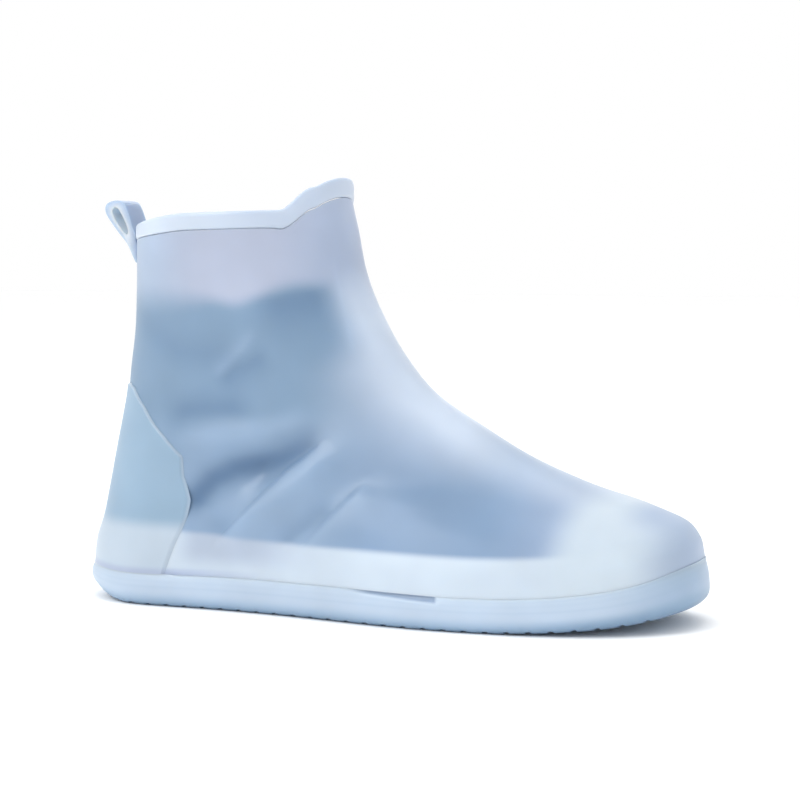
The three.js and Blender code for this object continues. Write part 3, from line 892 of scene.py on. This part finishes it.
@dataclass
class Outsole(CoverPiece):
    """The cup outsole with its tread."""

    node: str = "outsole"
    columns: int = 520
    heel_lean: Tuple[float, ...] = (2.6, 0.8, 0.6, 0.45, 0.15, 0.0)
    toe_lean: Tuple[float, ...] = (0.5, 0.6, 0.8, 1.0, 0.75, 0.5)
    tuck_end: float = 0.12
    outer_rows: int = 29
    panel_proud: float = 0.88
    panel_gap: float = 0.32
    corner: float = 1.2
    lip: float = 0.8
    bulge: float = 1.7
    edge_round: float = 6.0
    edge_squash: float = 0.92
    pitch: float = 9.5
    depth: float = 1.2
    root: float = 2.4
    mouth: float = 3.2
    first: float = 15.0
    count: int = 29
    wedge_ends: Tuple[float, float] = (150.0, 192.8)
    wedge_heights: Tuple[float, float] = (15.6, 14.2)
    wedge_half: float = 1.5
    wedge_depth: float = 0.9

    def section(self) -> List[Tuple[float, float, float, float]]:
        """Rows of the section from the tread to the floor: inset share, offset mm, share of the
        side wall's height, height mm above the sole's bottom."""
        gap, floor = self.form.sizes.gap, self.form.sizes.floor
        lip = gap + self.lip
        wide = lip + self.bulge
        r = self.edge_round
        rows: List[Tuple[float, float, float, float]] = []
        for k in (0.0, 0.25, 0.5, 0.75, 0.9):
            rows.append((k, wide - r, 0, 0))
        for k in range(7):
            a = k / 6 * math.pi / 2
            rows.append((1, wide - r + r * math.sin(a), 0, r * (1 - math.cos(a)) * self.edge_squash))
        for k in (0.45, 0.5, 0.55, 0.6, 0.65, 0.7, 0.75, 0.8, 0.84, 0.88, 0.91):
            rows.append((1, mix(wide, lip + 0.3, ((k - 0.45) / 0.46) ** 2), k, 0))
        # The lip rolls over and goes down again close to the shell.
        for out, share in ((0.18, 0.93), (0, 0.95), (-0.22, 0.968), (-0.48, 0.983), (-0.75, 0.995)):
            rows.append((1, lip + out, share, 0))
        for out, share in ((0.2, 1), (0.04, 0.997), (0.02, 0.985), (0.02, 0.9), (0.1, 0.6)):
            rows.append((1, out, share, 0))
        rows += [(1, gap, 0, floor + self.corner), (1, gap, 0, floor)]
        for k in (0.9, 0.75, 0.5, 0.25, 0.0):
            rows.append((k, gap - self.corner, 0, floor))
        return rows

    def build(self, material: bpy.types.Material) -> None:
        """Builds and dresses the outsole."""
        rows = self.section()
        table = np.array(rows)
        form = self.form

        def shape(u: Array, v: Array) -> Array:
            i = np.clip(np.rint(v * (len(rows) - 1)).astype(int), 0, len(rows) - 1)
            inset, out, share, above = table[i].T
            angle = 2 * np.pi * u
            d = SLOPE_STEP
            zero = np.zeros_like(angle)
            along = form.point(zero, angle + d, 0) - form.point(zero, angle - d, 0)
            normal = np.stack([-along[:, 1], along[:, 0], zero], -1)
            normal /= np.maximum(np.linalg.norm(normal, axis=-1, keepdims=True), 1e-9)
            edge = form.point(zero, angle, 0)
            spread = (1 - np.cos(angle)) / 2
            outer = i < self.outer_rows
            # Under the heel panel the lip stands as far out as the panel and closes up to it.
            under_panel = (1 - smooth(spread, 0.17, 0.2)) * (share > 0.96) * outer
            out = out + under_panel * np.maximum(self.panel_proud - out, 0)
            wide = edge + normal * out[:, None]
            heel_lean = self.lean(self.heel_lean, share, above, out - 0.9)
            heel_lean *= 1 - smooth(spread, 0, self.tuck_end)
            toe_lean = self.lean(self.toe_lean, share, above, out - 0.35) * smooth(spread, 0.86, 0.99)
            # The middle line that the tread and the floor shrink to.
            length = form.sizes.length
            x_mid = mix(length * RINGS[0].rear_x - out, length * RINGS[0].front_x + out, spread)
            middle = np.stack([x_mid, form.sizes.toe_skew * smooth(spread, 0.45, 1), zero], -1)
            points = mix(middle, wide, inset[:, None])
            bottom = form.sole("bottom", points[:, 0] + heel_lean)
            top = form.sole("top", points[:, 0]) + self.panel_gap * under_panel
            points[:, 0] += (heel_lean - toe_lean) * inset * outer
            # Above the rounded edge the rows share out what is left of the wall's height.
            low = self.edge_round * self.edge_squash
            wall = mix(bottom + low, top, np.clip((share - 0.4) / 0.6, 0, 1))
            points[:, 2] = np.where(share > 0, wall, bottom + above)
            cut = np.minimum(self.wedge_depth * self.wedge(points), out - 0.1) * outer * (share > 0)
            return form.place(points - normal * cut[:, None])

        item = grid_piece("outsole_cup", self.columns, len(rows) - 1, shape)
        weld(item)
        self.cut_tread(item)
        shade(item, 38)
        write_tint(item, self.colours(item))
        self.register(item, material)

    def lean(self, table: Sequence[float], share: Array, above: Array, room: Array) -> Array:
        """How far inward, in mm, the rows of the section stand at one end of the sole.

        Args:
            table: The lean at the tread and at five heights of the side wall.
            share: The rows' shares of the side wall's height.
            above: The rows' heights over the sole's bottom, where they have no share.
            room: What the top rows may lean without going into the shell.

        Returns:
            The leans.
        """
        low = mix(table[0], table[1], smooth(above, 1.5, 5.5))
        side = np.interp(share, (0.42, 0.72, 0.9, 0.97, 1.0), table[1:])
        return np.where(share > 0.85, np.minimum(side, np.maximum(room, 0)), np.where(share > 0, side, low))

    def wedge(self, p: Array) -> Array:
        """Closeness to the wedge-shaped slot in the outer side wall, 1 inside it."""
        start, end = self.wedge_ends
        along = np.clip((p[:, 0] - start) / (end - start), 0, 1)
        middle = mix(self.wedge_heights[0], self.wedge_heights[1], along)
        half = mix(0.5, self.wedge_half, along)
        inside = smooth(half - np.abs(p[:, 2] - middle), -0.5, 0.5)
        return inside * smooth(p[:, 0], start - 4, start + 12) * (p[:, 0] < end) * (p[:, 1] < -20)

    def cut_tread(self, item: bpy.types.Object) -> None:
        """Cuts the grooves across the tread."""
        cutters = []
        below = 2.0
        for i in range(self.count):
            x = self.first + i * self.pitch
            slope = math.atan2(float(self.form.sole("bottom", x + 1) - self.form.sole("bottom", x - 1)), 2.0)
            flare = (self.mouth - self.root) / self.depth * below
            select_only()
            bpy.ops.mesh.primitive_cube_add(size=1.0)
            bar = bpy.context.active_object
            p = read_points(bar)
            half = np.where(p[:, 2] > 0, self.root, self.mouth + flare) / 2
            p[:, 0] = np.sign(p[:, 0]) * half
            p[:, 1] = np.sign(p[:, 1]) * self.form.sizes.ball_width
            p[:, 2] = np.where(p[:, 2] > 0, self.depth, -below)
            c, s = math.cos(slope), math.sin(slope)
            across, up = p[:, 0] * c - p[:, 2] * s, p[:, 0] * s + p[:, 2] * c
            turned = np.stack([across + x, p[:, 1], up + float(self.form.sole("bottom", x))], -1)
            write_points(bar, self.form.place(turned))
            cutters.append(bar)
        tool = join(cutters)
        apply_modifier(item, "BOOLEAN", object=tool, operation="DIFFERENCE", solver="EXACT")
        bpy.data.objects.remove(tool, do_unlink=True)

    def colours(self, item: bpy.types.Object) -> Array:
        """Colours of the outsole at each vertex."""
        p = self.heel_based(item)
        bottom = self.form.sole("bottom", p[:, 0])
        top = self.form.sole("top", p[:, 0])
        up = np.clip((p[:, 2] - bottom) / (top - bottom), 0, 1)
        colour = Tone.SOLE.over(len(p))
        colour = tone_mix(colour, Tone.SOLE_TOE, smooth(p[:, 0], 262, 299))
        # Painted shade: darker towards the lower edge, darkest along the tread.
        colour = tone_mix(colour, Tone.SOLE_SHADE_AND_STREAK, 1 - smooth(up, 0.08, 0.5))
        colour = tone_mix(colour, Tone.SOLE_UNDER_SHADE, 0.9 * (1 - smooth(up, 0.0, 0.16)))
        # The sprung toe turns away from the light towards its lower edge.
        turned = smooth(p[:, 0], 215, 275) * (1 - smooth(up, 0.04, 0.46))
        colour = tone_mix(colour, Tone.SOLE_UNDER_SHADE, 0.85 * turned)
        # Faint lengthwise streaks of the flow in the mould.
        for height, share in ((0.62, 0.35), (0.8, 0.25), (0.93, 0.3)):
            colour = tone_mix(colour, Tone.SOLE_SHADE_AND_STREAK, share * 0.5 * np.exp(-(((up - height) / 0.035) ** 2)))
        # Painted shade in the wedge-shaped slot.
        return tone_mix(colour, Tone.WEDGE_SHADE, 0.95 * self.wedge(p))


@dataclass
class HeelCounter(CoverPiece):
    """The raised heel panel with its crisp border."""

    node: str = "heel_counter"
    thickness: float = 0.8
    edge: float = 1.5
    sink: float = 0.25
    lift: float = 0.05
    sheet: float = 0.4
    around_mm: float = 66.0
    upward_mm: float = 190.0
    columns: int = 160
    rows: int = 110
    outline: Tuple[Tuple[float, float], ...] = (
        (0.002, 0.274), (0.145, 0.291), (0.242, 0.305), (0.32, 0.3045), (0.385, 0.3135),
        (0.445, 0.286), (0.532, 0.233), (0.588, 0.175), (0.602, 0.14),
    )

    def reach_at(self, t: Array) -> Array:
        """How far around the heel the panel reaches at height shares t, as an angle."""
        levels, reaches = zip(*self.outline)
        return np.pi * np.interp(t, levels, reaches)

    def inside(self, t: Array, across: Array, reach: Array) -> Array:
        """Distance from the panel's border, roughly in mm.

        Args:
            t: Height shares.
            across: Shares of the reach, -1 to 1.
            reach: Reaches at those heights, as angles.

        Returns:
            The distances.
        """
        beside = (1 - np.abs(across)) * reach * self.around_mm
        return np.minimum(beside, (self.outline[-1][0] - t) * self.upward_mm)

    def border(self, p: Array) -> Array:
        """Distance of built points from the panel's sides and top edge, in mm."""
        form = self.form
        t = np.linspace(self.outline[0][0], self.outline[-1][0], 240)
        reach = self.reach_at(t)
        edges = [form.offset(t, sign * reach, np.full_like(t, self.thickness), 0.0) for sign in (-1, 1)]
        across = np.linspace(-reach[-1], reach[-1], 80)
        edges.append(form.offset(np.full(80, t[-1]), across, np.full(80, 0.9), 0.0))
        best = np.full(len(p), 1e6)
        for point in np.concatenate(edges):
            best = np.minimum(best, np.linalg.norm(p - point, axis=1))
        return best

    def build(self, material: bpy.types.Material) -> None:
        """Builds and dresses the panel."""
        form = self.form

        def crowd(k: Array) -> Array:
            return (1 - np.cos(np.pi * k)) / 2

        def shape(u: Array, v: Array) -> Array:
            t = mix(self.outline[0][0], self.outline[-1][0], crowd(v))
            reach = self.reach_at(t)
            across = 2 * crowd(u) - 1
            inside = self.inside(t, across, reach)
            # The very edge goes under the skin, so that the panel looks moulded on.
            out = self.thickness * smooth(inside, 0, self.edge) - self.sink * (1 - smooth(inside, 0, 0.3))
            return form.place(form.offset(t, across * reach, out + self.lift, 0.0))

        item = grid_piece("heel_counter_panel", self.columns, self.rows, shape)
        weld(item, 0.000005)
        apply_modifier(item, "SOLIDIFY", thickness=self.sheet * MM, offset=-1.0, use_even_offset=False)
        shade(item, 35)
        p = self.heel_based(item)
        colour = Tone.PANEL.over(len(p))
        # Darker patches low on both sides of the panel, about 52 mm from the heel.
        mist = np.exp(-(((p[:, 0] - 52) / 16) ** 2) - ((p[:, 2] - 45) / 8) ** 2)
        colour = tone_mix(colour, Tone.PANEL_DARK_PATCH, 0.8 * mist)
        colour = tone_mix(colour, Tone.PANEL_LOW, 0.95 * (1 - smooth(p[:, 2], 34, 42)))
        # Painted highlight along the panel's border.
        border = self.border(p)
        colour = tone_mix(colour, Tone.PANEL_EDGE_HIGHLIGHT, 0.75 * (1 - smooth(border, 0.3, 1.8)))
        # Painted shadow of the gap at the seam over the sole.
        colour = self.tint.seam(colour, p[:, 0], p[:, 2] - self.form.sole("top", p[:, 0]))
        write_tint(item, colour)
        self.register(item, material)


@dataclass
class PullLoop(CoverPiece):
    """The loop at the back of the collar."""

    node: str = "pull_loop"
    width: float = 16.0
    bevel: float = 1.2
    ease: float = 0.42
    around: int = 96
    reach: float = 17.4
    rise: float = 21.0
    outline: Tuple[Tuple[float, float], ...] = (
        (-0.006, -0.524), (-0.115, -0.381), (-0.299, -0.038), (-0.517, 0.152), (-0.77, 0.41),
        (-0.954, 0.62), (-1, 0.77), (-0.92, 0.895), (-0.62, 0.955), (-0.4, 0.9), (-0.25, 0.63),
        (-0.138, 0.31), (-0.05, 0.143), (-0.05, 0.01), (-0.006, -0.06),
    )
    slit: Tuple[Tuple[float, float], ...] = (
        (-0.345, 0.152), (-0.494, 0.286), (-0.701, 0.524), (-0.782, 0.705), (-0.713, 0.8),
        (-0.586, 0.771), (-0.437, 0.581), (-0.299, 0.333), (-0.276, 0.2),
    )

    def rounded(self, corners: Sequence[Tuple[float, float]]) -> Array:
        """A closed outline with its corners eased, at equal steps from its lowest point.

        Args:
            corners: The outline's corners, as shares of reach and rise.

        Returns:
            The outline's points, in mm.
        """
        c = np.array(corners, float) * (self.reach, self.rise)
        before, after = np.roll(c, 1, 0), np.roll(c, -1, 0)
        path = []
        for k in range(len(c)):
            a = c[k] + (before[k] - c[k]) * self.ease
            b = c[k] + (after[k] - c[k]) * self.ease
            for q in np.linspace(0, 1, 9):
                path.append((1 - q) ** 2 * a + 2 * q * (1 - q) * c[k] + q * q * b)
        path = np.array(path)
        closed = np.vstack([path, path[:1]])
        steps = np.concatenate([[0], np.cumsum(np.linalg.norm(np.diff(closed, axis=0), axis=1))])
        at = np.linspace(0, steps[-1], self.around, endpoint=False)
        points = np.stack([np.interp(at, steps, closed[:, i]) for i in (0, 1)], -1)
        return np.roll(points, -int(np.argmin(points[:, 1])), 0)

    def build(self, material: bpy.types.Material) -> None:
        """Builds and dresses the loop."""
        s = self.form.sizes
        origin = np.array([RINGS[-1].rear_x * s.length, 0.0, RINGS[-1].rear_z * s.tongue_height])
        # Both outlines start at their lowest point, so that the bridge stays untwisted.
        outer, inner = self.rounded(self.outline), self.rounded(self.slit)
        rings = []
        for outline in (outer, inner):
            select_only()
            bpy.ops.mesh.primitive_circle_add(vertices=self.around, radius=1.0)
            ring = bpy.context.active_object
            flat = np.stack([outline[:, 0], np.full(self.around, -self.width / 2), outline[:, 1]], -1)
            write_points(ring, self.form.place(flat + origin))
            rings.append(ring)
        item = join(rings)
        item.name = item.data.name = "pull_loop_strap"
        bpy.ops.object.mode_set(mode="EDIT")
        bpy.ops.mesh.select_all(action="SELECT")
        bpy.ops.mesh.bridge_edge_loops()
        bpy.ops.mesh.select_all(action="SELECT")
        bpy.ops.mesh.extrude_region_move(TRANSFORM_OT_translate={"value": (0, self.width * MM, 0)})
        bpy.ops.mesh.select_all(action="SELECT")
        bpy.ops.mesh.normals_make_consistent(inside=False)
        bpy.ops.object.mode_set(mode="OBJECT")
        edges = {"limit_method": "ANGLE", "angle_limit": math.radians(55)}
        apply_modifier(item, "BEVEL", width=self.bevel * MM, segments=4, **edges)
        shade(item, 50)
        p = self.heel_based(item)
        p = p[:, [0, 2]] - origin[[0, 2]]
        # Painted light on the walls of the slit, which lifts them out of the shade inside the slot.
        near = np.min(np.linalg.norm(p[:, None] - inner[None], axis=-1), axis=1)
        colours = Tone.LOOP.over(len(p))
        write_tint(item, tone_mix(colours, Tone.LOOP_SLOT_PAINTED_LIGHT, 1 - smooth(near, 0.2, 1.2)))
        self.register(item, material)


# Studio


@dataclass(frozen=True)
class SoftLamp:
    """A square studio softbox."""

    name: str
    place: Tuple[float, float, float]
    size: float
    watts: float
    colour: Tuple[float, float, float] = (1.0, 1.0, 1.0)


@dataclass
class Studio:
    """Pale floor, softboxes and the camera."""

    azimuth: float = 21.0
    elevation: float = 4.2
    distance: float = 0.97
    lens: float = 94.6
    target: Tuple[float, float, float] = (0.0065, 0.0, 0.0969)
    lamps: Tuple[SoftLamp, ...] = (
        SoftLamp("key", (-0.7, -1.1, 1.1), 0.7, 10),
        SoftLamp("fill", (1.3, -0.6, 0.7), 1.2, 1),
        SoftLamp("top", (0.1, 0.1, 1.5), 1.2, 6),
        SoftLamp("back", (-0.6, 1.3, 0.8), 1.2, 4),
    )

    def build(self) -> None:
        """Builds the studio."""
        select_only()
        bpy.ops.mesh.primitive_plane_add(size=12.0, location=(0, 0, 0))
        floor = bpy.context.active_object
        floor.name = "studio_floor"
        floor.data.materials.append(floor_paint())
        for lamp in self.lamps:
            data = bpy.data.lights.new(lamp.name, "AREA")
            data.energy, data.size, data.color = lamp.watts, lamp.size, lamp.colour
            item = bpy.data.objects.new(lamp.name, data)
            bpy.context.collection.objects.link(item)
            item.location = lamp.place
            aim = Vector(self.target) - Vector(lamp.place)
            item.rotation_euler = aim.to_track_quat("-Z", "Y").to_euler()
        bpy.context.scene.view_settings.view_transform = "Standard"
        world = bpy.context.scene.world or bpy.data.worlds.new("studio")
        bpy.context.scene.world = world
        world.use_nodes = True
        back = world.node_tree.nodes["Background"]
        back.inputs["Color"].default_value = (1.0, 1.0, 1.0, 1.0)
        back.inputs["Strength"].default_value = 1.0
        self.camera()

    def camera(self) -> None:
        """Places the camera at the photograph's viewing angle."""
        a, e = math.radians(self.azimuth), math.radians(self.elevation)
        back = Vector((math.sin(a) * math.cos(e), -math.cos(a) * math.cos(e), math.sin(e)))
        data = bpy.data.cameras.new("photo_camera")
        data.lens, data.sensor_width = self.lens, 36.0
        item = bpy.data.objects.new("photo_camera", data)
        bpy.context.collection.objects.link(item)
        item.location = Vector(self.target) + back * self.distance
        item.rotation_euler = (-back).to_track_quat("-Z", "Y").to_euler()
        bpy.context.scene.camera = item


def main() -> None:
    """Builds the cover piece by piece, then the studio."""
    form = BootForm()
    tint = BodyTint(form)
    body = FrostedRubber("moulded TPE, frosted, body").build()
    thick = FrostedRubber(
        "moulded TPE, frosted, thick rim and panel", transmission=0.12, subsurface=0.45
    ).build()
    sole = FrostedRubber(
        "moulded TPE, milky outsole", transmission=0.06, subsurface=0.5, depth_mm=4.0
    ).build()
    UpperShell(form, tint).build(body)
    CollarBand(form, tint).build(thick)
    HeelCounter(form, tint).build(thick)
    loop = FrostedRubber(
        "moulded TPE, frosted, thin loop", transmission=0.25, subsurface=0.9, depth_mm=7.0
    ).build()
    PullLoop(form, tint).build(loop)
    Outsole(form, tint).build(sole)
    Studio().build()


if __name__ == "__main__":
    main()
